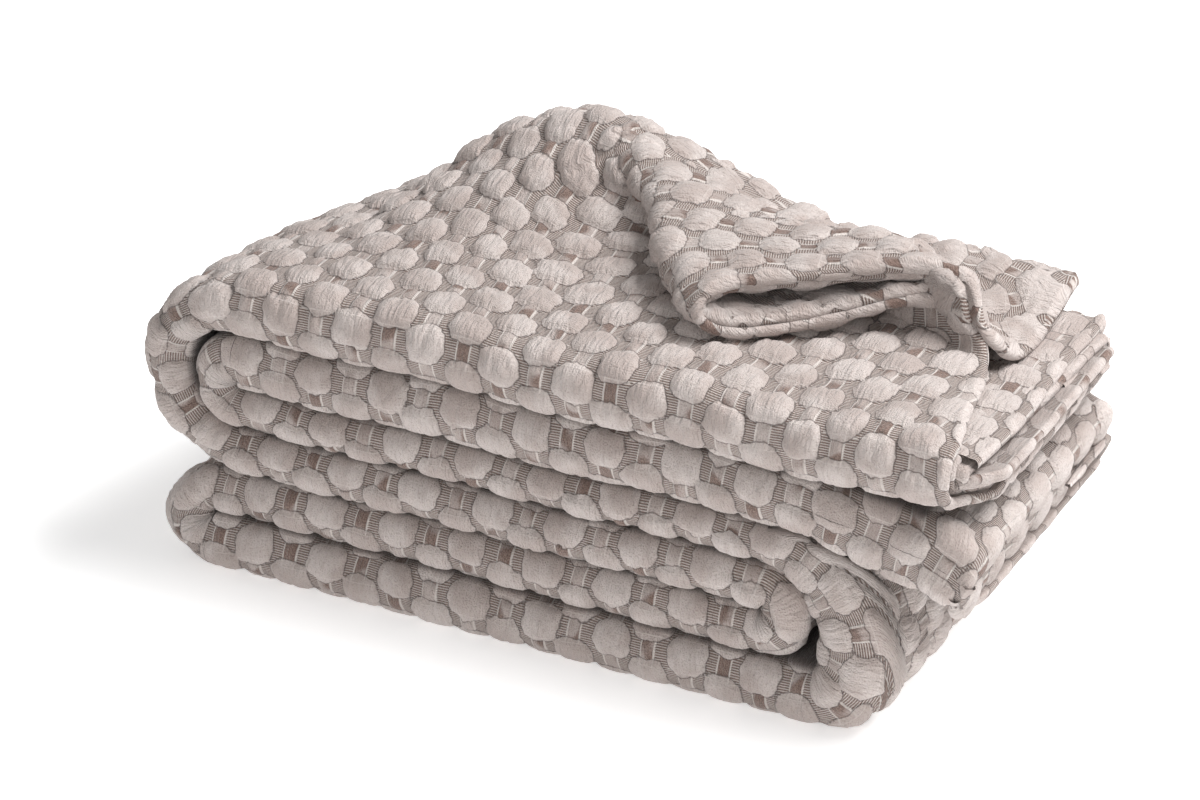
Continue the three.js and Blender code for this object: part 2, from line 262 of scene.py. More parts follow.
@dataclass
class Strip:
    """The strip's centre line, and the skin of cloth round it.

    A column of the skin is one number: -1 to 1 round the front fold, on to 2 along a
    leg, to 3 round its back fold and to 4 into the slot between the two legs. Columns
    below 0 are the lower side of a run that leads to the left, and above 0 the upper side.
    """

    pitch: float = 1.0
    spare: float = 20.0
    run_points: int = 200
    turn_points: int = 400
    droop_points: int = 300
    droop_power: int = 4
    heading_window: int = 5
    slot: float = LAYER_GAP / 2.0
    slot_depth: float = 60.0
    least_round: float = 4.0
    ledge_blend: float = 1.1
    fold_room: float = 1.15
    back_from: float = 1.9
    back_room: float = 12.0
    open_room: float = 20.0
    starts: dict[Stretch, float] = field(default_factory=dict)
    ends: dict[Stretch, float] = field(default_factory=dict)

    def __post_init__(self) -> None:
        """Lays the centre line and measures it."""
        lines: list[Array] = []
        length = 0.0
        for stretch, points in self._stretches():
            self.starts[stretch] = length
            length += float(along(points[:, :2], 0)[-1])
            self.ends[stretch] = length
            lines.append(points[:-1])
        lines.append(points[-1:])
        dense = np.concatenate(lines)
        place = along(dense[:, :2], 0)
        self.length = float(place[-1])
        for end, inner in ((0, 1), (-1, -2)):
            run = dense[end] - dense[inner]
            far = dense[end] + run * self.spare / np.hypot(run[0], run[1])
            far[2:] = dense[end, 2:]
            dense = np.insert(dense, len(dense) if end else 0, far, axis=0)
        place = np.concatenate([[-self.spare], place, [self.length + self.spare]])
        self.place = np.arange(-self.spare, self.length + self.spare, self.pitch)
        self.values = np.stack([np.interp(self.place, place, dense[:, k]) for k in range(6)], 1)
        heading = np.gradient(self.values[:, :2], axis=0)
        window = self.heading_window
        kernel = np.ones(window) / window
        heading = np.stack(
            [
                np.convolve(np.pad(heading[:, k], window // 2, "edge"), kernel, "valid")
                for k in range(2)
            ],
            1,
        )
        heading /= np.linalg.norm(heading, axis=1, keepdims=True)
        self.normals = np.stack([heading[:, 1], -heading[:, 0]], 1)

    def _straight(self, number: int, start: float, end: float) -> Array:
        """Points of a straight run.

        Args:
            number: the run's number from the floor.
            start: x where it starts.
            end: x where it ends.

        Returns:
            Rows of x, z, thickness, front, fan and ledge.
        """
        z, thick, front = run_at(number)
        x = np.linspace(start, end, self.run_points)
        rest = np.ones_like(x)
        return np.stack([x, z * rest, thick * rest, front * rest, 0 * x, 0 * x], 1)

    def _turn(self, first: int, last: int, bend: Bend, side: int) -> Array:
        """Points of half an ellipse from one run to the next.

        Args:
            first: number of the run that it leaves.
            last: number of the run that it meets.
            bend: its sizes.
            side: 1 if it bulges to the right, -1 to the left.

        Returns:
            Rows as those of a straight run.
        """
        az, a_thick, a_front = run_at(first)
        bz, b_thick, b_front = run_at(last)
        share = np.linspace(0.0, 1.0, self.turn_points)
        angle = share * np.pi
        blend = np.abs(np.sin(angle)) ** bend.gather
        thick = np.where(share < 0.5, a_thick, b_thick) * (1 - blend) + bend.thick * blend
        return np.stack(
            [
                bend.x + bend.lead * (1.0 - share) + side * bend.reach * np.sin(angle),
                (az + bz) / 2 + (az - bz) / 2 * np.cos(angle),
                thick,
                a_front + (b_front - a_front) * share,
                0 * share,
                0 * share,
            ],
            1,
        )

    def _droop(self) -> Array:
        """Points of the fifth run's end, bent down over the right-hand turn.

        Returns:
            Rows as those of a straight run.
        """
        z, thick, front = run_at(4)
        share = np.linspace(0.0, 1.0, self.droop_points)
        angle = math.radians(DROOP_ANGLE) * share
        swell = DROOP_SWELL * np.sin(np.pi * share) ** self.droop_power
        return np.stack(
            [
                DROOP_X + DROOP_RADIUS * np.sin(angle),
                z - DROOP_RADIUS * (1 - np.cos(angle)) - swell / 2.0,
                thick + (DROOP_THICK - thick) * smooth(share) + swell,
                front + 0 * share,
                0 * share,
                -DROOP_LEDGE * smooth((share - DROOP_LEDGE_FROM) / (1.0 - DROOP_LEDGE_FROM)),
            ],
            1,
        )

    def _stretches(self) -> list[tuple[Stretch, Array]]:
        """Lays every stretch.

        Returns:
            The stretches in order, each with its points.
        """
        top = self._straight(5, TOP_END, OUTER_LEFT.x)
        near = smooth(1.0 - (TOP_END - top[:, 0]) / END_REACH)
        top[:, 4] = END_FAN * near
        top[:, 5] = END_LEDGE * near
        return [
            (Stretch.TOP, top),
            (Stretch.OUTER_LEFT, self._turn(5, 2, OUTER_LEFT, -1)),
            (Stretch.THIRD, self._straight(2, OUTER_LEFT.x, INNER_RIGHT.x)),
            (Stretch.INNER_RIGHT, self._turn(2, 1, INNER_RIGHT, 1)),
            (Stretch.SECOND, self._straight(1, INNER_RIGHT.x, FLOOR_LEFT.x)),
            (Stretch.FLOOR_LEFT, self._turn(1, 0, FLOOR_LEFT, -1)),
            (Stretch.FLOOR, self._straight(0, FLOOR_LEFT.x, OUTER_RIGHT.x + OUTER_RIGHT.lead)),
            (Stretch.OUTER_RIGHT, self._turn(0, 3, OUTER_RIGHT, 1)),
            (Stretch.FOURTH, self._straight(3, OUTER_RIGHT.x, INNER_LEFT.x)),
            (Stretch.INNER_LEFT, self._turn(3, 4, INNER_LEFT, -1)),
            (Stretch.FIFTH, self._straight(4, INNER_LEFT.x, DROOP_X)),
            (Stretch.DROOP, self._droop()),
        ]

    def skin(self, rows: Array, columns: Array, inset: float = 0.0, bed: bool = False) -> Array:
        """Positions of the skin, before the pile settles.

        Args:
            rows: places along the centre line.
            columns: column numbers from the lower side to the upper side.
            inset: how far a layer lies inside the outer one.
            bed: whether the upper leg ends under the lifted layers.

        Returns:
            Positions shaped columns by rows by 3.
        """
        x, z, thick, front, fan, ledge = (
            np.interp(rows, self.place, self.values[:, k])[None, :] for k in range(6)
        )
        nx, nz = (np.interp(rows, self.place, self.normals[:, k])[None, :] for k in range(2))
        c = columns[:, None]
        half = thick / 2.0 - inset
        if bed:
            lower = smooth((x - LIFT_START) / LIFT_BLEND) * (c > 0)
            half = half + (BED_TOP - z - half) * lower
        round_in = np.maximum(FRONT_ROUND - inset, self.least_round)
        front = front + inset
        side, reach = np.sign(c), np.abs(c)
        angle = np.clip(c, -1.0, 1.0) * np.pi / 2.0
        leg_end = np.where(c > 0, DEPTH - BACK_UPPER, DEPTH - BACK_LOWER)
        depth = front + round_in * (1.0 - np.cos(angle))
        depth = depth + np.clip(reach - 1.0, 0.0, 1.0) * (leg_end - front - round_in)
        turn = np.clip(reach - 2.0, 0.0, 1.0) * np.pi
        fold = (half - self.slot) / 2.0
        offset = np.where(
            reach <= 2.0, half * np.sin(angle), side * (self.slot + fold + fold * np.cos(turn))
        )
        depth = depth + BACK_NOSE * np.sin(turn)
        depth = depth - np.clip(reach - 3.0, 0.0, 1.0) * self.slot_depth
        low = smooth(-self.ledge_blend * c * np.sign(ledge))
        low = low * smooth((depth - LEDGE_FROM) / LEDGE_BLEND)
        px = x + nx * offset + fan * (1.0 - low) * depth / DEPTH + np.abs(ledge) * low
        pz = z + nz * offset
        return np.stack(np.broadcast_arrays(px, depth + 0 * px, pz), axis=-1)

    def clearance(self, rows: Array, columns: Array, open_sides: tuple[Array, Array]) -> Array:
        """How far a puff may rise before it meets the next run.

        Args:
            rows: places along the centre line.
            columns: column numbers.
            open_sides: how open the lower and the upper side are, 0 to 1, for each row.

        Returns:
            Millimetres, shaped columns by rows.
        """
        thick = np.interp(rows, self.place, self.values[:, 2])[None, :]
        c = columns[:, None]
        angle = np.clip(c, -1.0, 1.0) * np.pi / 2.0
        gap = thick / 2.0 * (1.0 - np.abs(np.sin(angle))) * self.fold_room + LAYER_GAP / 2.0
        back = smooth(np.abs(c) - self.back_from) * self.back_room
        opened = np.where(c < 0, open_sides[0][None, :], open_sides[1][None, :])
        return gap + back + opened * self.open_room


@dataclass
class Pleat:
    """The lifted top layers, from the wall of the valley over the pleat to the back."""

    line_steps: int = 16
    station_steps: int = 40

    def __post_init__(self) -> None:
        """Draws the smooth sheet through the stations."""
        table = np.array([STATIONS[name] for name in STATIONS], dtype=float)
        across = catmull(np.swapaxes(table, 0, 1), self.line_steps)
        self.grid = catmull(np.swapaxes(across, 0, 1), self.station_steps)
        self.front_x = self.grid[:, 0, 0]

    def middle(self, x: Array, shares: Array) -> Array:
        """Positions of the sheet's middle.

        Args:
            x: the front line's x of each row.
            shares: shares of each row's length, from the front line to the back line.

        Returns:
            Positions shaped shares by rows by 3.
        """
        level = np.interp(x, self.front_x, np.arange(len(self.front_x)))
        low = np.minimum(level.astype(int), len(self.front_x) - 2)
        mix = (level - low)[:, None, None]
        rows = self.grid[low] * (1 - mix) + self.grid[low + 1] * mix
        made = np.empty((len(shares), len(x), 3))
        for i, row in enumerate(rows):
            place = along(row, 0)
            for k in range(3):
                made[:, i, k] = np.interp(shares * place[-1], place, row[:, k])
        return made


@dataclass(frozen=True)
class Weave:
    """The woven pattern: a checkerboard of big puffs and of ribbed cells with a small puff.

    Sizes are in millimetres of cloth, and pairs of them run along and across the strip.
    """

    repeat: float = 47.0
    row: float = 16.5
    puff_half: tuple[float, float] = (12.2, 11.3)
    puff_height: float = 5.4
    corner: float = 2.8  # power of the puff's outline: 2 is an ellipse, more is squarer
    dome: tuple[float, float] = (2.7, 0.55)  # powers of its profile, from its rim to its top
    shift: float = 1.6  # how far a puff may lie off its place
    spread: tuple[float, float] = (0.14, 0.16)  # how much wider and longer one may be
    cleft_depth: float = 0.34
    cleft_width: float = 1.5
    cleft_shift: float = 7.0
    cleft_slant: float = 0.22
    small_half: tuple[float, float] = (4.2, 5.9)
    small_height: float = 2.4
    flat_share: float = 0.3  # share of the small cells without a puff
    rib_height: float = 0.6
    lumps: tuple[tuple[float, int, float], ...] = ((0.06, 21, 11.0), (0.04, 23, 6.0))
    wrinkles: tuple[tuple[float, int, float, float], ...] = (
        (0.07, 22, 5.0, 0.3), (0.05, 24, 7.5, 1.0),
    )
    ring_limit: float = 1.6
    hem_phase: float = 8.0
    seed: int = 11

    def chance(self, i: Array, j: Array, kind: int) -> Array:
        """A fixed random share for each cell, by its place and the kind of number."""
        table = np.random.default_rng(self.seed).random((89, 97, 8))
        return table[i.astype(int) % 89, j.astype(int) % 97, kind]

    def relief(self, s: Array, t: Array) -> tuple[Array, Array]:
        """Height of the cloth's face over its ground.

        Args:
            s: cloth coordinate along the strip, in millimetres.
            t: cloth coordinate across the strip.

        Returns:
            The height in millimetres, and how far out on the nearest big puff, 1 at its rim.
        """
        s = s + self.hem_phase
        total = np.full(s.shape, self.rib_height)
        ring = np.full(s.shape, self.ring_limit)
        own = np.floor(t / self.row)
        lumps = sum((share * drift(s, t, *wave) for share, *wave in self.lumps), 1.0)
        wrinkle = 1.0
        for share, seed, length, across in self.wrinkles:
            wrinkle = wrinkle + share * drift(s, across * t, seed, length)
        for step in (-1, 0, 1):
            j = own + step
            shift = (j % 2) * self.repeat / 2.0
            i = np.round((s - shift) / self.repeat)
            ds = s - i * self.repeat - shift - self.shift * (self.chance(i, j, 0) - 0.5)
            dt = t - (j + 0.5) * self.row - self.shift * (self.chance(i, j, 1) - 0.5)
            a = self.puff_half[0] * (0.93 + self.spread[0] * self.chance(i, j, 2))
            b = self.puff_half[1] * (0.93 + self.spread[1] * self.chance(i, j, 3))
            n = self.corner
            r = (np.abs(ds / a) ** n + np.abs(dt / b) ** n) ** (1 / n) * lumps
            dome = np.maximum(0.0, 1.0 - r ** self.dome[0]) ** self.dome[1]
            lobe = self.cleft_shift * (self.chance(i, j, 4) - 0.5)
            deep = self.cleft_depth * smooth((self.chance(i, j, 5) - 0.35) * 3.0)
            lobe = lobe + self.cleft_slant * dt * (self.chance(i, j, 6) - 0.5)
            off = (ds - lobe) / self.cleft_width
            cleft = deep * np.exp(-(off**2)) * smooth((dt / b + 0.5) * 1.1)
            high = self.puff_height * (0.82 + 0.32 * self.chance(i, j, 7))
            total = np.maximum(total, high * dome * (1.0 - cleft) * wrinkle)
            ring = np.minimum(ring, r)
        shift = ((own + 1) % 2) * self.repeat / 2.0
        i = np.round((s - shift) / self.repeat)
        ds = (s - i * self.repeat - shift) / self.small_half[0]
        dt = (t - (own + 0.5) * self.row) / self.small_half[1]
        bump = np.clip(1 - np.abs(ds) ** 3.0, 0, 1) ** 0.6 * np.clip(1 - np.abs(dt) ** 4, 0, 1) ** 0.6
        raised = self.chance(i, own, 3) > self.flat_share
        small = self.small_height * (0.7 + 0.6 * self.chance(i, own, 2)) * raised
        total = np.maximum(total, self.rib_height + small * bump)
        return total, ring


def flattened(
    points: Array,
    s: Array,
    t: Array,
    held: Array,
    skip: int = 3,
    rounds: int = 2500,
    ease: float = 0.3,
) -> Array:
    """Cloth coordinates whose distances match those of the points, as when a sheet is laid flat.

    Args:
        points: positions, columns by rows by 3.
        s: first guess along the strip.
        t: first guess across the strip.
        held: where the guess stays as it is.
        skip: grid steps between the points that are matched.
        rounds: how often every point is moved towards its place.
        ease: share of the way that it is moved each time.

    Returns:
        The coordinates, columns by rows by 2.
    """
    guess = np.stack([s, t], axis=-1)
    picks = [np.unique(np.append(np.arange(0, count, skip), count - 1)) for count in s.shape]
    grid = np.ix_(*picks)
    place, flat, free = points[grid], guess[grid], ~held[grid]
    columns, rows = free.shape
    pairs = []
    for a, b in ((1, 0), (0, 1), (1, 1), (1, -1)):
        one = (slice(0, columns - a), slice(max(0, -b), rows - max(0, b)))
        two = (slice(a, columns), slice(max(0, b), rows + min(0, b)))
        pairs.append((one, two, np.linalg.norm(place[two] - place[one], axis=-1)))
    for _ in range(rounds):
        move = np.zeros_like(flat)
        for one, two, reach in pairs:
            gap = flat[two] - flat[one]
            size = np.maximum(np.linalg.norm(gap, axis=-1), 1e-6)
            pull = gap * (0.5 * (size - reach) / size)[..., None]
            move[one] += pull
            move[two] -= pull
        flat = flat + ease * move * free[..., None]
    change = flat - guess[grid]
    along_rows, along_columns = np.arange(s.shape[1]), np.arange(s.shape[0])
    for k in range(2):
        wide = np.stack([np.interp(along_rows, picks[1], line) for line in change[..., k]])
        guess[..., k] += np.stack([np.interp(along_columns, picks[0], line) for line in wide.T], 1)
    return guess


def drift(s: Array, t: Array, seed: int, length: float, waves: int = 7) -> Array:
    """Soft unevenness between about -1 and 1, from a few waves of about that length.

    Args:
        s: cloth coordinate along the strip, in millimetres.
        t: cloth coordinate across the strip.
        seed: number that fixes the waves.
        length: usual length of a wave, in millimetres.
        waves: how many waves are added up.

    Returns:
        The unevenness, shaped as the coordinates.
    """
    rng = np.random.default_rng(seed)
    total = np.zeros(np.broadcast(s, t).shape)
    for _ in range(waves):
        angle, phase = rng.random(2) * 2.0 * np.pi
        size = length * (0.6 + 0.9 * rng.random())
        total += np.sin(2 * np.pi * (s * math.cos(angle) + t * math.sin(angle)) / size + phase)
    return total / 3.0


# Looks

def linear(code: str) -> tuple[float, float, float, float]:
    """An sRGB hex colour made linear.

    Args:
        code: six hex digits.

    Returns:
        Red, green, blue and 1.
    """
    parts = [int(code[k : k + 2], 16) / 255.0 for k in (0, 2, 4)]
    red, green, blue = (p / 12.92 if p <= 0.04045 else ((p + 0.055) / 1.055) ** 2.4 for p in parts)
    return red, green, blue, 1.0


@dataclass(frozen=True)
class CottonFinish:
    """Washed matelasse cotton: fuzzy pale puffs over a darker ribbed ground.

    Colours are sRGB hex values and lengths are millimetres of cloth.
    """

    puff: str = "CDC2BD"
    shade: str = "B8AAA4"
    ground: str = "8F786E"
    thread: str = "DDD3CD"
    groove: str = "6C564C"
    # deep is the colour of painted shade, laid in the gaps round the puffs, the nooks and the inner
    # faces of hems
    deep: str = "3E302A"
    rib_pitch: float = 1.42
    rib_wobble: float = 0.6
    thread_width: float = 0.6
    row_thread: tuple[float, float] = (0.6, 1.4)  # its soft side, in shares of that width
    side_thread: tuple[float, float] = (0.5, 1.3)
    float_mm: tuple[float, float] = (2.0, 9.0909)  # width and length of the loose floats
    fuzz_mm: float = 0.9  # real fuzz is finer, and is drawn as coarse as it needs to show
    patch_mm: float = 28.5714
    dim_mm: float = 20.0
    wobble_mm: float = 16.6667
    puff_edge: tuple[float, float] = (0.99, 1.04)  # edges are soft steps, from and to
    # the gap round each puff is where painted shade is laid
    gap_shade_inner: tuple[float, float] = (0.97, 1.03)
    gap_shade_outer: tuple[float, float] = (1.02, 1.09)
    small_edge: tuple[float, float] = (3.6, 4.4)
    small_end: tuple[float, float] = (1.4, 2.6)
    cell_edge: tuple[float, float] = (10.5, 11.6)
    rib_edge: tuple[float, float] = (-0.5, 0.7)
    patch_edge: tuple[float, float] = (0.35, 0.65)
    float_edge: tuple[float, float] = (0.5, 0.75)
    fuzz_edge: tuple[float, float] = (0.3, 0.7)
    dim_edge: tuple[float, float] = (0.48, 0.62)
    float_dark: float = 0.45
    small_dark: float = 0.25
    rib_light: float = 0.7
    thread_light: float = 0.95
    thread_hidden: float = 0.6
    softness: float = 0.3
    rib_bump: float = 0.6
    thread_bump: float = 0.5
    float_bump: float = 2.4
    fuzz_bump: float = 1.0
    # how far painted shade takes the gaps and the nooks towards the deep colour
    gap_shade: float = 0.68
    nook_shade: float = 0.96
    roughness: float = 0.96
    sheen: float = 0.25
    sheen_roughness: float = 0.6


MATH = "ShaderNodeMath"


class Kind(Enum):
    """The kinds of node that the materials are made of.

    Each has its type name, its settings, the inputs that are filled and the output that is read.
    """

    PLACE = ("ShaderNodeUVMap", {"uv_map": "cloth"}, (), 0)
    ALONG = ("ShaderNodeSeparateXYZ", {}, (0,), 0)
    ACROSS = ("ShaderNodeSeparateXYZ", {}, (0,), 1)
    RING = ("ShaderNodeAttribute", {"attribute_name": "ring"}, (), 2)
    # the nook attribute is how much painted shade a point gets for want of room beside it
    NOOK_SHADE = ("ShaderNodeAttribute", {"attribute_name": "nook"}, (), 2)
    STRETCH = ("ShaderNodeMapping", {}, ("Vector", "Scale"), 0)
    NOISE = ("ShaderNodeTexNoise", {"noise_dimensions": "2D"}, ("Vector", "Scale", "Detail"), 0)
    ADD = (MATH, {"operation": "ADD"}, (0, 1), 0)
    LESS = (MATH, {"operation": "SUBTRACT"}, (0, 1), 0)
    TIMES = (MATH, {"operation": "MULTIPLY"}, (0, 1), 0)
    OVER = (MATH, {"operation": "DIVIDE"}, (0, 1), 0)
    LARGER = (MATH, {"operation": "MAXIMUM"}, (0, 1), 0)
    SMALLER = (MATH, {"operation": "MINIMUM"}, (0, 1), 0)
    REST = (MATH, {"operation": "FLOORED_MODULO"}, (0, 1), 0)
    SIZE = (MATH, {"operation": "ABSOLUTE"}, (0,), 0)
    WHOLE = (MATH, {"operation": "FLOOR"}, (0,), 0)
    SHARE = (MATH, {"operation": "FRACT"}, (0,), 0)
    SINE = (MATH, {"operation": "SINE"}, (0,), 0)
    STEP = ("ShaderNodeMapRange", {"interpolation_type": "SMOOTHSTEP"}, (0, 1, 2), 0)
    MIX = ("ShaderNodeMix", {"data_type": "RGBA"}, (0, 6, 7), 2)
    BUMP = ("ShaderNodeBump", {}, ("Height", "Strength", "Distance"), 0)
    COTTON = (
        "ShaderNodeBsdfPrincipled",
        {},
        ("Base Color", "Normal", "Roughness", "Sheen Weight", "Sheen Roughness"),
        0,
    )
    PAPER = (
        "ShaderNodeBsdfPrincipled",
        {},
        ("Base Color", "Roughness", "Emission Color", "Emission Strength"),
        0,
    )
    SURFACE = ("ShaderNodeOutputMaterial", {}, ("Surface",), 0)


class Nodes:
    """Builds one material's node tree."""

    def __init__(self, name: str) -> None:
        """Starts a material with an empty tree.

        Args:
            name: the material's name.
        """
        self.material = bpy.data.materials.new(name)
        self.material.use_nodes = True
        self.tree = self.material.node_tree
        self.tree.nodes.clear()

    def add(self, kind: Kind, *values: Socket | float | tuple[float, ...]) -> Socket | None:
        """Adds a node with its settings, values and links.

        Args:
            kind: the kind of node.
            *values: values or output sockets, one for each input of that kind.

        Returns:
            The output socket of that kind, or None where the node has none.
        """
        type_name, settings, inputs, output = kind.value
        node = self.tree.nodes.new(type_name)
        for key, value in settings.items():
            setattr(node, key, value)
        for key, value in zip(inputs, values, strict=True):
            socket = node.inputs[key]
            if isinstance(value, Socket):
                self.tree.links.new(value, socket)
            else:
                socket.default_value = value
        return node.outputs[output] if node.outputs else None


class Cotton(Nodes):
    """Washed matelasse cotton, woven in one piece with its puffs.

    It has no gloss. The eye sees pale fuzzy puffs, thin gaps round them darkened with painted shade,
    fine ribs with light threads between, and small square cells, some pale and some brown. Painted
    shade also darkens the nooks where the cloth lies close to the next run, and the inner faces of
    hems.
    """

    def __init__(self, weave: Weave, finish: CottonFinish) -> None:
        """Builds the whole material.

        Args:
            weave: sizes of the woven pattern, in millimetres of cloth.
            finish: colours and surface values.
        """
        super().__init__("matelasse cotton")
        self.weave, self.finish = weave, finish
        self.uv = self.add(Kind.PLACE)
        self._puffs()
        self._cells()
        self._ribs()
        self._threads()
        self._fibres()
        face = (finish.roughness, finish.sheen, finish.sheen_roughness)
        self.add(Kind.SURFACE, self.add(Kind.COTTON, self._colour(), self._bump(), *face))

    def _puffs(self) -> None:
        """The puff lies inside ring 1, and a thin gap goes round it, where painted shade is laid."""
        add, finish, ring = self.add, self.finish, self.add(Kind.RING)
        self.bare = add(Kind.STEP, ring, *finish.puff_edge)
        self.lift = add(Kind.LESS, 1.0, self.bare)
        inside = add(Kind.LESS, 1.0, add(Kind.STEP, ring, *finish.gap_shade_outer))
        self.gap = add(Kind.TIMES, add(Kind.STEP, ring, *finish.gap_shade_inner), inside)

    def _cells(self) -> None:
        """Places in the repeat: across a cell from its small puff, and down its row from an edge."""
        add, finish, weave = self.add, self.finish, self.weave
        along, across = add(Kind.ALONG, self.uv), add(Kind.ACROSS, self.uv)
        row = add(Kind.OVER, across, weave.row)
        odd = add(Kind.TIMES, add(Kind.REST, add(Kind.WHOLE, row), 2.0), 0.5)
        turn = add(Kind.LESS, add(Kind.OVER, along, weave.repeat), odd)
        turn = add(Kind.SHARE, add(Kind.ADD, turn, 0.5))
        from_puff = add(Kind.SIZE, add(Kind.LESS, turn, 0.5))
        self.from_small = add(Kind.TIMES, add(Kind.LESS, 0.5, from_puff), weave.repeat)
        in_row = add(Kind.TIMES, add(Kind.SHARE, row), weave.row)
        self.to_edge = add(Kind.SMALLER, in_row, add(Kind.LESS, weave.row, in_row))
        on_small = add(Kind.LESS, 1.0, add(Kind.STEP, self.from_small, *finish.small_edge))
        on_small = add(Kind.TIMES, on_small, self.bare)
        self.on_small = add(Kind.TIMES, on_small, add(Kind.STEP, self.to_edge, *finish.small_end))

    def _ribs(self) -> None:
        """Ribs beside the small puff, one for each rib pitch."""
        add, finish = self.add, self.finish
        half, soft = self.weave.small_half[0], finish.softness
        beside = add(Kind.STEP, self.from_small, half - soft, half + soft)
        beside = add(Kind.TIMES, beside, self.bare)
        wobble = add(Kind.NOISE, self.uv, 1.0 / finish.wobble_mm, 1.0)
        wobble = add(Kind.TIMES, wobble, finish.rib_wobble)
        place = add(Kind.OVER, add(Kind.ACROSS, self.uv), finish.rib_pitch)
        wave = add(Kind.SINE, add(Kind.TIMES, add(Kind.ADD, place, wobble), 2.0 * math.pi))
        self.rib = add(Kind.TIMES, add(Kind.STEP, wave, *finish.rib_edge), beside)

    def _threads(self) -> None:
        """Light threads along the rows and beside the small puff."""
        add, finish, width = self.add, self.finish, self.finish.thread_width
        off = add(Kind.SIZE, add(Kind.LESS, self.from_small, self.weave.small_half[0]))
        edge, upright = (
            add(Kind.LESS, 1.0, add(Kind.STEP, place, width * start, width * end))
            for place, (start, end) in ((self.to_edge, finish.row_thread), (off, finish.side_thread))
        )
        in_cell = add(Kind.LESS, 1.0, add(Kind.STEP, self.from_small, *finish.cell_edge))
        threads = add(Kind.TIMES, add(Kind.LARGER, edge, upright), in_cell)
        over_puff = add(Kind.LESS, 1.0, add(Kind.TIMES, self.lift, finish.thread_hidden))
        self.threads = add(Kind.TIMES, threads, over_puff)

    def _fibres(self) -> None:
        """Loose floats run across the strip, with a finer fuzz over them."""
        wide, long = self.finish.float_mm
        floats = self.add(Kind.STRETCH, self.uv, (1.0 / wide, 1.0 / long, 1.0))
        self.floats = self.add(Kind.NOISE, floats, 1.0, 4.0)
        self.fuzz = self.add(Kind.NOISE, self.uv, 1.0 / self.finish.fuzz_mm, 3.0)

    def _colour(self) -> Socket | None:
        """Colours from the ground and the puffs up to the threads, then painted shade where light
        can't reach: in the gaps round the puffs and in the nooks.

        Returns:
            The colour's socket.
        """
        add, finish = self.add, self.finish
        tones = (finish.puff, finish.shade, finish.ground, finish.groove, finish.thread, finish.deep)
        pale, shaded, brown, groove, thread, deep = (linear(tone) for tone in tones)
        patch = add(Kind.NOISE, self.uv, 1.0 / finish.patch_mm, 2.0)
        puff = add(Kind.MIX, add(Kind.STEP, patch, *finish.patch_edge), pale, shaded)
        for fibre, tone in ((self.floats, shaded), (self.fuzz, brown)):
            share = add(Kind.TIMES, add(Kind.STEP, fibre, *finish.float_edge), finish.float_dark)
            puff = add(Kind.MIX, share, puff, tone)
        ground = add(Kind.MIX, add(Kind.STEP, self.fuzz, *finish.fuzz_edge), brown, groove)
        dim = add(Kind.NOISE, self.uv, 1.0 / finish.dim_mm, 0.0)
        small = add(Kind.MIX, add(Kind.STEP, dim, *finish.dim_edge), puff, ground)
        small = add(Kind.MIX, finish.small_dark, small, ground)
        colour = add(Kind.MIX, self.on_small, ground, small)
        colour = add(Kind.MIX, self.lift, colour, puff)
        for line, share in ((self.rib, finish.rib_light), (self.threads, finish.thread_light)):
            colour = add(Kind.MIX, add(Kind.TIMES, line, share), colour, thread)
        # painted shade: the gaps round the puffs and the nooks where the cloth lies close to the next
        # run are darkened towards the deep colour
        hidden = add(Kind.TIMES, add(Kind.NOOK_SHADE), finish.nook_shade)
        hidden = add(Kind.LARGER, add(Kind.TIMES, self.gap, finish.gap_shade), hidden)
        return add(Kind.MIX, hidden, colour, deep)

    def _bump(self) -> Socket | None:
        """Relief too fine for the mesh, in millimetres.

        Returns:
            The bent normal's socket.
        """
        finish = self.finish
        height = self.add(Kind.TIMES, self.rib, finish.rib_bump)
        for part, share in (
            (self.threads, finish.thread_bump),
            (self.floats, finish.float_bump),
            (self.fuzz, finish.fuzz_bump),
        ):
            height = self.add(Kind.ADD, height, self.add(Kind.TIMES, part, share))
        return self.add(Kind.BUMP, height, 1.0, MM)


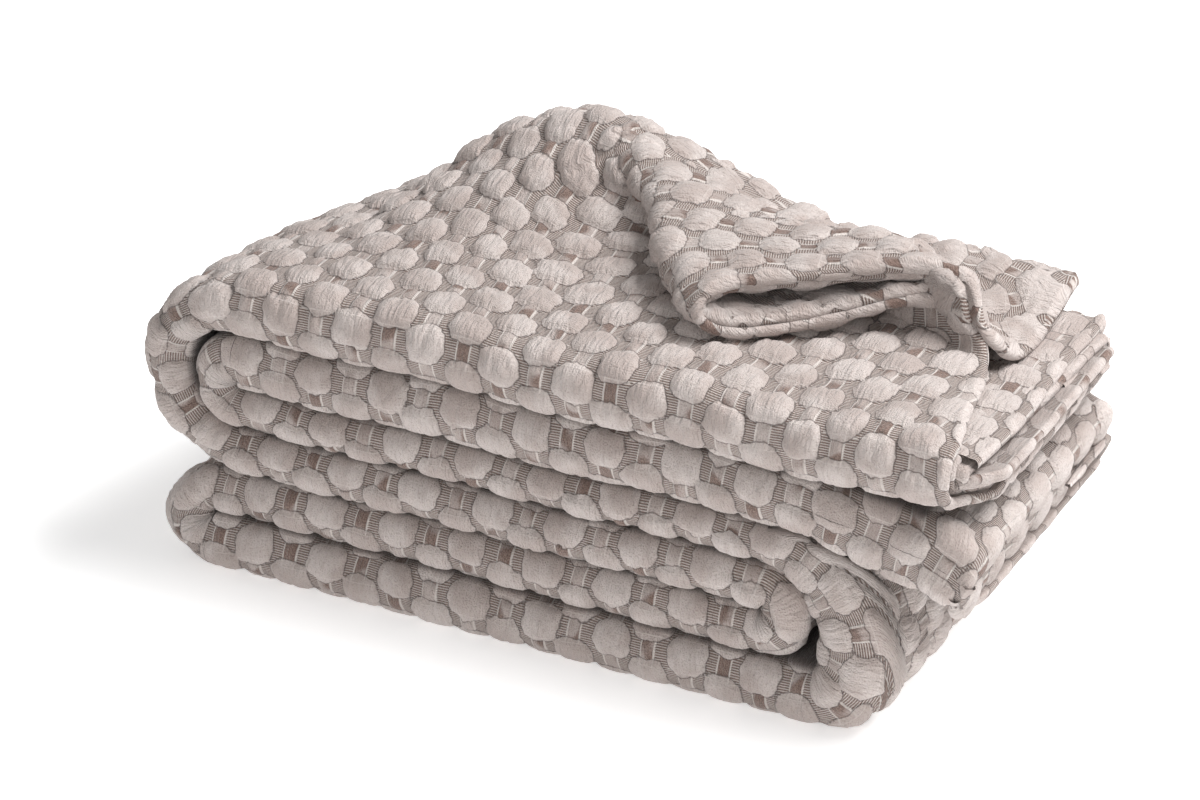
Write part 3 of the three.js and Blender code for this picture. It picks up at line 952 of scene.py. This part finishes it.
@dataclass
class Cloth:
    """Turns grids of positions into pieces of cloth with relief and finish."""

    weave: Weave
    material: bpy.types.Material
    shift: Vector
    wander: tuple[float, float] = (1.1, 90.0)  # how far the weave strays, and over what length
    unevenness: tuple[float, float] = (0.35, 30.0)
    least_room: float = 0.3
    made: list[str] = field(default_factory=list)

    def piece(self, name: str, patch: Patch, floor: float = 0.35) -> bpy.types.Object:
        """Makes one piece of cloth from its smooth base.

        Args:
            name: the piece's name.
            patch: the cloth before the pile settles.
            floor: lowest height that any point may have.

        Returns:
            The piece.
        """
        base, s, t, clearance = settle(patch.base), patch.s, patch.t, patch.room
        stray, length = self.wander
        ps = s + stray * drift(s, t, 3, length)
        pt = t + stray * drift(s, t, 5, length)
        height, ring = self.weave.relief(ps, pt)
        height = height + self.unevenness[0] * drift(s, t, 8, self.unevenness[1])
        room = np.maximum(clearance, self.least_room)
        height = room * (1.0 - np.exp(-np.maximum(height, 0.0) / room))
        points = base + normals_of(base) * height[..., None]
        points[..., 2] = np.maximum(points[..., 2], floor)
        # nook carries the patch's painted shade to the material
        return self._mesh(name, points, ps, pt, {"ring": ring, "nook": patch.shade}, (s, t))

    def _mesh(
        self,
        name: str,
        points: Array,
        ps: Array,
        pt: Array,
        shares: dict[str, Array],
        flat: tuple[Array, Array],
    ) -> bpy.types.Object:
        """Args:
            name: the piece's name.
            points: positions in millimetres, columns by rows by 3.
            ps: the weave's coordinate along the strip.
            pt: the weave's coordinate across the strip.
            shares: values that the material reads, by attribute name.
            flat: the cloth coordinates that give the flat size.

        Returns:
            The piece.
        """
        columns, rows = points.shape[:2]
        mesh = bpy.data.meshes.new(name)
        bm = bmesh.new()
        bmesh.ops.create_grid(bm, x_segments=columns - 1, y_segments=rows - 1, size=0.5)
        bm.to_mesh(mesh)
        bm.free()
        co = np.empty(len(mesh.vertices) * 3)
        mesh.vertices.foreach_get("co", co)
        co = co.reshape(-1, 3)
        i = np.rint((co[:, 0] + 0.5) * (columns - 1)).astype(int)
        j = np.rint((co[:, 1] + 0.5) * (rows - 1)).astype(int)
        moved = points[i, j] * MM + np.array(self.shift)
        mesh.vertices.foreach_set("co", moved.ravel())
        corner = np.empty(len(mesh.loops), dtype=np.int32)
        mesh.loops.foreach_get("vertex_index", corner)
        uv = np.stack([ps[i, j], pt[i, j]], 1)[corner]
        uv[:, 0] += self.weave.hem_phase
        layer = mesh.uv_layers.new(name="cloth")
        layer.data.foreach_set("uv", uv.ravel())
        for key, share in shares.items():
            mesh.attributes.new(key, "FLOAT", "POINT").data.foreach_set("value", share[i, j])
        mesh.polygons.foreach_set("use_smooth", np.ones(len(mesh.polygons), dtype=bool))
        mesh.materials.append(self.material)
        mesh.update()
        piece = bpy.data.objects.new(name, mesh)
        bpy.context.scene.collection.objects.link(piece)
        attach(piece, "root")
        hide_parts(NODE)
        area = self._flat_area(*flat)
        long = float(np.ptp(flat[0]))
        Log.info("%s: %d triangles", name, 2 * len(mesh.polygons))
        self.made.append(name)
        return piece

    @staticmethod
    def _flat_area(s: Array, t: Array) -> float:
        """Flat area of a grid of cloth coordinates.

        Args:
            s: coordinates along the strip.
            t: coordinates across it.

        Returns:
            Square millimetres.
        """
        ds0, ds1 = np.gradient(s)
        dt0, dt1 = np.gradient(t)
        return float(np.abs(ds0 * dt1 - ds1 * dt0)[:-1, :-1].sum())


# Hems: rows and swell of the edge, shade of the inner face, and where the layer gets thin

RIM_ROWS, RIM_SWELL, INNER_SHADE = 6, 1.12, 0.3
HEM_UNTIL, HEM_FADE, HEM_LEAST = 2.3, 0.3, 0.08
CAP_FROM, CAP_UNTIL, CAP_BLEND = 1.98, 3.1, 0.08


@dataclass
class Patch:
    """A grid of cloth before relief: positions, cloth coordinates, room for puffs, and shade."""

    base: Array
    s: Array
    t: Array
    room: Array
    shade: Array

    def each(self, change: Callable[[Array], Array]) -> Patch:
        """A patch with every grid changed alike."""
        return Patch(*(change(grid) for grid in (self.base, self.s, self.t, self.room, self.shade)))

    def turned(self) -> Patch:
        """The same cloth with its rows and its columns in reverse."""
        return self.each(lambda grid: grid[::-1, ::-1])

    def strips(self, pick: Array) -> Patch:
        """Its picked columns alone."""
        return self.each(lambda grid: grid[pick])

    def first(self, rows: int) -> Patch:
        """Its first rows alone."""
        return self.each(lambda grid: grid[:, :rows])

    def lowered(self, by: float) -> Patch:
        """The cloth of a layer that lies under this one."""
        return Patch(self.base - by * normals_of(self.base), self.s, self.t, self.room, self.shade)

    def flattened_by(self, room: float) -> Patch:
        """The same cloth, pressed by the layers over it."""
        return Patch(self.base, self.s, self.t, np.full(self.s.shape, room), 0.0 * self.s)

    def _cap(self, ends: Array, inside: int) -> tuple[Array, Array]:
        """Cloth across the open end of each back fold.

        Args:
            ends: column numbers.
            inside: how many rows the cloth has.

        Returns:
            Its positions, and how much each column takes part in it.
        """
        row = self.base[:, 0]
        reach = np.abs(ends)
        part = smooth((reach - CAP_FROM) / CAP_BLEND) * smooth((CAP_UNTIL - reach) / CAP_BLEND)
        middle = row.copy()
        for side in (-1.0, 1.0):
            own = ends * side > 0.0
            top, low = (row[np.argmin(np.abs(ends - side * number))] for number in (2.0, 3.0))
            middle[own] = (top + low) / 2.0
        share = np.linspace(1.0, 0.0, inside + 1)[None, :, None]
        return row[:, None] * (1.0 - share) + middle[:, None] * share, part[:, None, None]

    def hemmed(
        self,
        thick: float | Array,
        inside: int,
        room: float,
        rim_room: float = 1.3,
        ends: Array | None = None,
    ) -> Patch:
        """The same cloth, turned round its first row into an edge and an inner face.

        Args:
            thick: thickness of the layer, one number or one for each column.
            inside: how many rows of its inner face are made.
            room: room for the relief of that face.
            rim_room: room for the relief round the edge.
            ends: column numbers, where the back folds are closed at their ends.

        Returns:
            A patch that starts inside, runs round the edge and goes on as before.
        """
        normal = normals_of(self.base)
        out = self.base[:, 0] - self.base[:, 3]
        out /= np.maximum(np.linalg.norm(out, axis=-1, keepdims=True), 1e-6)
        thick = np.broadcast_to(np.asarray(thick, dtype=float), (len(self.base),))[:, None]
        radius = thick / 2.0
        phi = np.linspace(np.pi, 0.0, RIM_ROWS + 2)[1:-1]
        centre = self.base[:, 0] - radius * normal[:, 0]
        round_out = [math.cos(a) * normal[:, 0] + math.sin(a) * out for a in phi]
        rim = np.stack([centre + radius * RIM_SWELL * way for way in round_out], 1)
        inner = (self.base - thick[..., None] * normal)[:, inside::-1]
        if ends is not None:
            cap, part = self._cap(ends, inside)
            inner = inner * (1.0 - part) + cap * part
        start = self.s[:, :1]
        rim_s = start - radius * phi[None, :]
        inner_s = start - np.pi * radius - (self.s[:, inside::-1] - start)
        rim_t = np.repeat(self.t[:, :1], len(phi), axis=1)
        inner_t = self.t[:, inside::-1]
        return Patch(
            np.concatenate([inner, rim, self.base], 1),
            np.concatenate([inner_s, rim_s, self.s], 1),
            np.concatenate([inner_t, rim_t, self.t], 1),
            np.concatenate([0.0 * inner_t + room, 0.0 * rim_t + rim_room, self.room], 1),
            np.concatenate([0.0 * inner_t + INNER_SHADE, 0.0 * rim_t, self.shade], 1),
        )


def hem_thickness(columns: Array, thick: float) -> Array:
    """Thickness of a layer at its hem: full on the legs, thin round the folds at the back."""
    return thick * np.clip((HEM_UNTIL - np.abs(columns)) / HEM_FADE, HEM_LEAST, 1.0)


def steps(start: float, end: float, length: float, size: float) -> Array:
    """Column numbers from start to end, about size millimetres apart over that length."""
    return np.linspace(start, end, max(2, int(round(length / size)) + 1))[:-1]


# Where a side is open, and how far that starts after and ends before its stretch

OPEN_UPPER = (
    (Stretch.OUTER_LEFT, -30.0, 20.0),
    (Stretch.FLOOR_LEFT, 8.0, 14.0),
    (Stretch.OUTER_RIGHT, 16.0, 10.0),
)
OPEN_LOWER = ((Stretch.DROOP, 92.0, -40.0), (Stretch.INNER_RIGHT, 8.0, 8.0))


@dataclass
class Pile:
    """The folded strip: its front folds, turns and back edges as pieces of cloth."""

    strip: Strip
    cloth: Cloth
    fine: float = 1.7
    coarse: float = 7.0
    front_quarter: float = 24.0
    leg: float = 183.0
    fine_leg: float = 0.07
    fold: tuple[float, float] = (16.0, 2.4)  # length of a back fold, and the steps over it
    into_slot: tuple[float, float] = (60.0, 15.0)
    side_blend: float = 14.0
    least_step: float = 0.35
    front_blend: tuple[float, float] = (0.45, 0.7)
    # below nook millimetres of room the cloth gets painted shade, rising with that power
    nook: float = 3.6
    nook_power: float = 0.7
    pressed: float = 0.6
    layer_share: float = 1.0 / 9.0
    droop_seam: tuple[float, float] = (-0.2, -0.1)  # columns where its two halves overlap
    end_bend: float = 9.0
    end_out: float = -1.0
    end_high: float = 1.2
    flare: float = 0.14
    bend_rows: int = 9
    face_rows: int = 24
    face_room: float = 8.0
    face_full: float = 12.0
    least_high: float = 0.3
    least_room: float = 0.4
    inner_quarter: tuple[float, float] = (10.0, 2.0)  # least length, and the steps over it
    inner_leg: tuple[float, float, float] = (1.97, 178.0, 2.4)  # its end, length and steps

    def columns(self, side: Side) -> Array:
        """Column numbers all round the strip.

        Args:
            side: the side whose leg is finely spaced.

        Returns:
            The numbers, from -4 to 4.
        """
        down = self.fine if side is Side.LOWER else self.coarse
        up = self.fine if side is Side.UPPER else self.coarse
        start, rest = 1.0 + self.fine_leg, self.leg * (1.0 - self.fine_leg)
        half = np.concatenate(
            [
                steps(0.0, 1.0, self.front_quarter, self.fine),
                steps(1.0, start, self.leg * self.fine_leg, self.fine),
            ]
        )
        ends = [steps(2.0, 3.0, *self.fold), steps(3.0, 4.0, *self.into_slot), np.array([4.0])]
        plus = np.concatenate([half, steps(start, 2.0, rest, up), *ends])
        minus = np.concatenate([half, steps(start, 2.0, rest, down), *ends])
        return np.concatenate([-minus[:0:-1], plus])

    def open_sides(self, rows: Array) -> tuple[Array, Array]:
        """How open the lower and the upper side are at each row, 0 to 1."""
        return self._opening(rows, OPEN_LOWER), self._opening(rows, OPEN_UPPER)

    def _opening(self, rows: Array, parts: tuple[tuple[Stretch, float, float], ...]) -> Array:
        """How far rows lie inside any of the parts.

        Args:
            rows: places along the centre line.
            parts: stretches, each cut by so much at its start and at its end.

        Returns:
            For each row, 0 to 1.
        """
        shares = []
        for stretch, before, after in parts:
            into = (rows - self.strip.starts[stretch] - before) / self.side_blend
            left = (self.strip.ends[stretch] - after - rows) / self.side_blend
            shares.append(smooth(into + 0.5) * smooth(left + 0.5))
        return np.maximum.reduce(shares)

    def arc(self, raw: Array, t: Array, size: float) -> Array:
        """Distances along the rows of a skin, less what it moves across.

        Args:
            raw: positions, columns by rows by 3.
            t: cloth coordinate across.
            size: usual distance between two rows.

        Returns:
            Cumulative millimetres from the first row, columns by rows.
        """
        gap = np.linalg.norm(np.diff(raw, axis=1), axis=-1)
        least = (self.least_step * size) ** 2
        step = np.sqrt(np.maximum(gap**2 - np.diff(t, axis=1) ** 2, least))
        return np.concatenate([np.zeros((len(t), 1)), np.cumsum(step, axis=1)], 1)

    def patch(
        self,
        rows: Array,
        columns: Array,
        inset: float = 0.0,
        bed: bool = False,
        outer: Side = Side.NEITHER,
    ) -> Patch:
        """The cloth of a stretch before relief.

        Args:
            rows: places along the centre line.
            columns: column numbers.
            inset: how far the layer lies inside the outer one.
            bed: whether the upper leg ends under the lifted layers.
            outer: the side whose cloth is measured on its own outside.

        Returns:
            The patch.
        """
        raw = self.strip.skin(rows, columns, inset, bed)
        t = along(raw, 0)
        middle = int(np.argmin(np.abs(columns)))
        t = t - t[middle][None, :] + columns[middle] * self.front_quarter
        s = np.repeat(rows[None, :], len(columns), axis=0)
        if outer is not Side.NEITHER:
            share = self.past_front(columns * outer.value)
            s = s * (1 - share) + (rows[0] + self.arc(raw, t, self.fine)) * share
        room = self.strip.clearance(rows, columns, self.open_sides(rows))
        return Patch(raw, s, t, room, self.shade_of(room))

    def past_front(self, columns: Array) -> Array:
        """How far columns are past the front fold, 0 to 1, one under another."""
        return smooth((columns - self.front_blend[0]) / self.front_blend[1])[:, None]

    def shade_of(self, room: Array) -> Array:
        """How much painted shade the cloth gets for want of room beside it, 0 to 1."""
        return np.clip(1.0 - room / self.nook, 0.0, 1.0) ** self.nook_power

    def rows(self, start: float, end: float) -> Array:
        """Places from start to end, finely spaced."""
        return np.linspace(start, end, int(round((end - start) / self.fine)) + 1)

    def build_stretch(self, name: str, first: Stretch, last: Stretch, side: Side) -> None:
        """Builds the skin of neighbouring stretches.

        Args:
            name: the piece's name.
            first: the stretch that it starts with.
            last: the stretch that it ends with.
            side: the side that is open and shows.
        """
        rows = self.rows(self.strip.starts[first], self.strip.ends[last])
        columns = self.columns(side)
        self.cloth.piece(name, self.patch(rows, columns, outer=side))

    def build_droop(self) -> None:
        """Builds the drooping end: its lower half with a hem, and the outer cloth over its end."""
        start, end = self.strip.starts[Stretch.DROOP], self.strip.length
        columns = self.columns(Side.LOWER)
        layer = DROOP_THICK * self.layer_share
        low, high = columns > self.droop_seam[0], columns < self.droop_seam[1]
        under = self.patch(self.rows(start, end), columns).strips(low).turned()
        ends = columns[low][::-1]
        hem = hem_thickness(ends, layer)
        self.cloth.piece("droop_under", under.hemmed(hem, 8, self.pressed, ends=ends))
        rows = self.rows(start, end - self.end_bend + self.end_out)
        over = self._draped(self.patch(rows, columns, outer=Side.LOWER).strips(high)).turned()
        ends = columns[high][::-1]
        hem = hem_thickness(ends, layer)
        self.cloth.piece("droop", over.hemmed(hem, 6, self.pressed, ends=ends))

    def _draped(self, patch: Patch) -> Patch:
        """Leads the upper leg's outer cloth on over the end of the run and down its face.

        Args:
            patch: the cloth up to the end.

        Returns:
            The longer patch.
        """
        tilt = math.radians(DROOP_ANGLE)
        ahead = np.array([math.cos(tilt), 0.0, -math.sin(tilt)])
        down = np.array([-math.sin(tilt), 0.0, -math.cos(tilt)])
        edge = patch.base[:, -1]
        place = self.strip.length - self.end_bend + self.end_out
        z = np.interp(place, self.strip.place, self.strip.values[:, 1])
        high = (edge[:, 2] - z) / math.cos(tilt)
        high = np.maximum(np.abs(high), self.least_high)[:, None, None]
        drop = 2.0 * high
        edge = edge[:, None]
        round_down = np.minimum(self.end_bend, self.end_high * high)
        phi = (np.arange(1, self.bend_rows + 1) / self.bend_rows * np.pi / 2.0)[None, :, None]
        bend = edge + self.end_bend * np.sin(phi) * ahead + round_down * (1 - np.cos(phi)) * down
        share = (np.arange(1, self.face_rows + 1) / self.face_rows)[None, :, None]
        fall = down + self.flare * ahead
        face = edge + self.end_bend * ahead + round_down * down + (drop - round_down) * share * fall
        base = np.concatenate([patch.base, bend, face], 1)
        new = base.shape[1] - patch.base.shape[1]
        run = along(base[:, -new - 1 :], 1)[:, 1:]
        s = np.concatenate([patch.s, patch.s[:, -1:] + run], 1)
        t = np.concatenate([patch.t, np.repeat(patch.t[:, -1:], new, 1)], 1)
        held = np.zeros(s.shape, dtype=bool)
        held[:, :-new] = True
        even = flattened(base, s, t, held, skip=2, rounds=600)
        room = np.concatenate([patch.room, np.full((len(base), new), self.face_room)], 1)
        room[:, -new:] *= smooth(high[:, :, 0] / self.face_full)
        shade = np.concatenate([patch.shade, np.zeros((len(base), new))], 1)
        return Patch(base, even[..., 0], even[..., 1], np.maximum(room, self.least_room), shade)

    def inner_columns(self, inset: float) -> Array:
        """Column numbers of an inner layer, from one leg round the fold to the other.

        Args:
            inset: how far the layer lies inside the outer one.

        Returns:
            The numbers.
        """
        least, size = self.inner_quarter
        quarter = steps(0.0, 1.0, max(self.front_quarter - inset, least), size)
        half = np.concatenate([quarter, steps(1.0, *self.inner_leg)])
        return np.concatenate([-half[:0:-1], half])

    def build(self) -> None:
        """Builds every stretch below the top run."""
        for name, first, last, side in (
            ("third_run", Stretch.THIRD, Stretch.INNER_RIGHT, Side.NEITHER),
            ("second_run", Stretch.SECOND, Stretch.SECOND, Side.NEITHER),
            ("floor_turn", Stretch.FLOOR_LEFT, Stretch.FLOOR_LEFT, Side.UPPER),
            ("floor_run", Stretch.FLOOR, Stretch.FLOOR, Side.NEITHER),
            ("right_turn", Stretch.OUTER_RIGHT, Stretch.OUTER_RIGHT, Side.UPPER),
            ("fourth_run", Stretch.FOURTH, Stretch.INNER_LEFT, Side.NEITHER),
            ("fifth_run", Stretch.FIFTH, Stretch.FIFTH, Side.NEITHER),
        ):
            self.build_stretch(name, first, last, side)
        self.build_droop()


@dataclass
class TopLayers:
    """The top run with its lifted layers and the outer left turn that they run into."""

    strip: Strip
    pleat: Pleat
    pile: Pile
    cloth: Cloth
    fine: float = 1.65
    coarse: float = 2.5
    hidden: float = 7.0
    front: float = 54.0
    over_top: float = 215.0
    lower_leg: float = 168.0
    back: float = 15.0
    fine_until: float = 1.08
    layer: float = 4.8
    pressed: float = 0.6
    setback: float = 5.0
    mouth_end: float = 440.0
    under_room: tuple[float, float] = (0.4, 20.0)  # least and most room under the lifted layers
    sheet_points: int = 140
    into_slot: float = 0.12
    blend: tuple[float, float] = (62.0, 34.0)
    even_from: tuple[float, float] = (0.9, 8.0)  # a column, and how far before the blend
    open_from: tuple[float, float] = (40.0, 20.0)
    inner_ends: tuple[tuple[int, float], ...] = ((2, 1.0), (3, -5.0))  # layer, and its setback
    inner_length: float = 30.0
    inner_rows: int = 18
    inner_room: float = 0.8
    bed_leg: tuple[float, float, float] = (1.03, 2.0, 178.0)
    bed_fold: tuple[float, float] = (12.0, 2.0)
    bed_ledge: float = 9.0
    bed_ledge_until: tuple[float, float] = (170.0, 110.0)
    foot_columns: tuple[float, float, float, float] = (1.77, 0.04, 1.98, 0.08)
    foot_rounds: int = 60
    foot_drop: float = 8.5
    foot_forward: float = 10.0

    def columns(self, size: float) -> Array:
        """Column numbers from the lower leg round the front and over the top to the back.

        Args:
            size: distance between fine columns.

        Returns:
            The numbers, from -4 to 4.
        """
        lower = np.concatenate(
            [
                np.linspace(4.0, 3.0, 5)[:-1],
                steps(3.0, 2.0, *self.pile.fold),
                steps(2.0, self.fine_until, self.lower_leg, self.hidden),
                steps(self.fine_until, 1.0, self.back, size),
            ]
        )
        upper = [
            steps(-1.0, 1.0, self.front, size),
            steps(1.0, 2.0, self.over_top, size),
            steps(2.0, 3.0, self.back, self.pile.fold[1]),
            np.linspace(3.0, 4.0, 6),
        ]
        return np.concatenate([-lower, *upper])

    def sheet(self, x: Array, columns: Array) -> Array:
        """Positions of the lifted layers' skin.

        Args:
            x: the front line's x of each row.
            columns: column numbers past 1.

        Returns:
            Positions shaped columns by rows by 3.
        """
        shares = np.clip(columns - 1.0, 0.0, 1.0)
        shares = shares - np.clip(columns - 3.0, 0.0, 1.0) * self.into_slot
        even = np.linspace(0.0, 1.0, self.sheet_points)
        middle = self.pleat.middle(x, even)
        normal = normals_of(middle)
        out = np.gradient(middle, axis=0)
        out /= np.linalg.norm(out, axis=-1, keepdims=True)
        pick = shares * (len(even) - 1)
        low = np.minimum(pick.astype(int), len(even) - 2)
        mix = (pick - low)[:, None, None]

        def take(values: Array) -> Array:
            """The values at each column's share."""
            return values[low] * (1 - mix) + values[low + 1] * mix

        turn = (np.clip(columns - 2.0, 0.0, 1.0) * np.pi)[:, None, None]
        half = TOP_SHEET / 2.0
        return take(middle) + half * (np.cos(turn) * take(normal) + np.sin(turn) * take(out))

    def patch(self, rows: Array, columns: Array) -> Patch:
        """The top cloth before relief.

        Args:
            rows: places along the centre line.
            columns: column numbers.

        Returns:
            The patch.
        """
        raw = self.strip.skin(rows, columns)
        x = TOP_END - rows
        lifted = x > self.blend[0]
        over = columns > 1.0
        sheet = self.sheet(x[lifted], columns[over])
        share = smooth((x[lifted] - self.blend[0]) / self.blend[1])[None, :, None]
        block = raw[np.ix_(over, lifted)]
        raw[np.ix_(over, lifted)] = block * (1 - share) + sheet * share
        self._soften_foot(raw, rows, columns)
        t = along(raw, 0)
        t = t - t[int(np.argmin(np.abs(columns)))][None, :]
        size = abs(rows[1] - rows[0])
        count = int(lifted.sum()) - 1
        reach = self.pile.arc(raw, t, size)
        s = rows[count] + reach - reach[:, count : count + 1]
        past = self.pile.past_front(columns)
        s[:, count:] = rows[None, count:] * (1 - past) + s[:, count:] * past
        held = (columns[:, None] < 1.0) | (x[None, :] < self.blend[0])
        block = np.ix_(columns > self.even_from[0], x > self.blend[0] - self.even_from[1])
        even = flattened(raw[block], s[block], t[block], held[block])
        s[block], t[block] = even[..., 0], even[..., 1]
        lower, upper = self.pile.open_sides(rows)
        upper = np.maximum(upper, smooth((x - self.open_from[0]) / self.open_from[1]))
        room = self.strip.clearance(rows, columns, (lower, upper))
        return Patch(raw, s, t, room, self.pile.shade_of(room))

    def _soften_foot(self, raw: Array, rows: Array, columns: Array) -> None:
        """Rounds the crease behind the lifted layers near their hem, and lays it on the pile.

        Args:
            raw: positions, columns by rows by 3, which it moves.
            rows: places along the centre line.
            columns: column numbers.
        """
        start, blend_in, end, blend_out = self.foot_columns
        window = smooth((columns - start) / blend_in) * smooth((end - columns) / blend_out)
        share = window[:, None] * smooth(1.0 - rows / END_REACH)[None, :]
        for _ in range(self.foot_rounds):
            middle = (raw[:-2] + raw[2:]) / 2.0 - raw[1:-1]
            raw[1:-1] += 0.5 * share[1:-1, :, None] * middle
        raw[..., 1] -= self.foot_forward * share
        raw[..., 2] -= self.foot_drop * share

    def build(self) -> None:
        """Builds the top cloth, the layer under it, the bed and the ends of the inner layers."""
        end = self.strip.ends[Stretch.OUTER_LEFT]
        rows = np.linspace(0.0, end, int(round(end / self.fine)) + 1)
        columns = self.columns(self.fine)
        outer = self.patch(rows, columns)
        thick = hem_thickness(columns, self.layer)
        self.cloth.piece("top_cloth", outer.hemmed(thick, 10, self.pressed, ends=columns))
        self._lining()
        self._bed()
        for number, back in self.inner_ends:
            inset, room = self.layer * number, self.inner_room
            rows = np.linspace(back, back + self.inner_length, self.inner_rows)
            inner = self.pile.patch(rows, self.pile.inner_columns(inset), inset)
            made = inner.flattened_by(room).hemmed(self.layer, 8, room)
            self.cloth.piece(f"top_layer_{number}", made)

    def _lining(self) -> None:
        """The second lifted layer: its hem and its inner face, which shows in the mouth."""
        rows = np.arange(self.setback, self.mouth_end, self.coarse)
        columns = self.columns(self.coarse)
        columns = columns[(columns > -2.0) & (columns < 2.0)]
        layer = self.patch(rows, columns).lowered(self.layer)
        gap = layer.base[..., 2] - self.layer - BED_TOP
        inside = np.clip(0.5 * gap, *self.under_room)
        inside[columns < 1.0] = self.under_room[0]
        count = len(rows)
        made = layer.flattened_by(self.pressed).hemmed(self.layer * 0.9, count - 1, self.pressed)
        made.room[:, :count] = inside[:, ::-1]
        self.cloth.piece("top_lining", made.first(count + 2 * RIM_ROWS))

    def _bed(self) -> None:
        """The layers that stay down, where the lifted ones leave them bare."""
        rows = np.arange(0.0, self.mouth_end, self.coarse)
        leg, fold = steps(*self.bed_leg, self.coarse), steps(2.0, 3.0, *self.bed_fold)
        columns = np.concatenate([leg, fold, np.linspace(3.0, 4.0, 5)])
        bed = self.pile.patch(rows, columns, bed=True)
        shares = np.clip(columns - 1.0, 0.0, 1.0)
        gap = self.pleat.middle(TOP_END - rows, shares)[..., 2] - TOP_SHEET / 2.0 - BED_TOP
        bed.room[:] = np.clip(0.4 * gap, *self.under_room)
        bed.shade[:] = 0.0
        near = smooth(1.0 - rows / END_REACH)[None, :]
        until, blend = self.bed_ledge_until
        bed.base[..., 0] += self.bed_ledge * near * smooth((until - bed.base[..., 1]) / blend)
        thick = hem_thickness(columns, self.layer)
        self.cloth.piece("top_bed", bed.hemmed(thick, 5, self.pressed, ends=columns))


# Studio

@dataclass
class Studio:
    """The pale floor, the soft lights and the camera of the photograph."""

    frame_width: float = 36.0
    lens: float = 192.0
    camera_at: tuple[float, float, float] = (1.4272, -2.8924, 1.9837)
    look: tuple[float, float, float] = (-0.38737, 0.77457, -0.5)
    far_clip: float = 50.0
    white: str = "FFFFFF"
    floor_half: float = 6.0
    floor_glow: float = 0.42
    surround: float = 0.29
    light_size: float = 1.4
    key_at: tuple[float, float, float] = (1.25, 0.6, 2.25)
    key_power: float = 92.0
    fill_at: tuple[float, float, float] = (0.7, -2.8, 1.3)
    fill_power: float = 18.0

    def build(self) -> None:
        """Builds floor, world, lights and camera."""
        self._floor()
        self._world()
        self._light("key", self.key_at, self.key_power)
        self._light("fill", self.fill_at, self.fill_power)
        self._camera()

    def _floor(self) -> None:
        """A wide floor of matt white paper, which gives the eye an even pale ground."""
        mesh = bpy.data.meshes.new("floor")
        bm = bmesh.new()
        bmesh.ops.create_grid(bm, x_segments=1, y_segments=1, size=self.floor_half)
        bm.to_mesh(mesh)
        bm.free()
        floor = bpy.data.objects.new("floor", mesh)
        bpy.context.scene.collection.objects.link(floor)
        nodes, white = Nodes("white paper floor"), linear(self.white)
        paper = nodes.add(Kind.PAPER, white, 1.0, white, self.floor_glow)
        nodes.add(Kind.SURFACE, paper)
        mesh.materials.append(nodes.material)

    def _world(self) -> None:
        """An even white surrounding light."""
        world = bpy.data.worlds.new("studio")
        world.use_nodes = True
        background = world.node_tree.nodes["Background"]
        background.inputs[0].default_value = linear(self.white)
        background.inputs[1].default_value = self.surround
        bpy.context.scene.world = world

    def _light(self, name: str, at: tuple[float, float, float], power: float) -> None:
        """One square soft light that faces the quilt.

        Args:
            name: the light's name.
            at: where it stands, in metres.
            power: its power in watts.
        """
        data = bpy.data.lights.new(name, "AREA")
        data.size = self.light_size
        data.energy = power
        light = bpy.data.objects.new(name, data)
        bpy.context.scene.collection.objects.link(light)
        light.location = at
        light.rotation_euler = (-Vector(at)).to_track_quat("-Z", "Y").to_euler()

    def _camera(self) -> None:
        """The camera, far off and narrow, so that parallel edges stay parallel."""
        data = bpy.data.cameras.new("camera")
        data.sensor_width = self.frame_width
        data.lens = self.lens
        data.clip_end = self.far_clip
        camera = bpy.data.objects.new("camera", data)
        bpy.context.scene.collection.objects.link(camera)
        forward = Vector(self.look).normalized()
        right = forward.cross(Vector((0.0, 0.0, 1.0))).normalized()
        up = right.cross(forward)
        turn = Matrix((right, up, -forward)).transposed()
        camera.matrix_world = Matrix.Translation(self.camera_at) @ turn.to_4x4()
        bpy.context.scene.camera = camera


def main() -> None:
    """Builds the quilt and its studio, and reports each piece."""
    logging.basicConfig(level=logging.INFO, format="%(message)s")
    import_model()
    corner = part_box(NODE)[0]
    shift = Vector(corner) - Vector(LOW_CORNER) * MM
    bpy.context.scene.view_settings.view_transform = "Standard"
    weave = Weave()
    cloth = Cloth(weave, Cotton(weave, CottonFinish()).material, shift)
    strip = Strip()
    pile = Pile(strip, cloth)
    TopLayers(strip, Pleat(), pile, cloth).build()
    pile.build()
    Studio().build()
    Log.info("%d pieces", len(cloth.made))


if __name__ == "__main__":
    main()
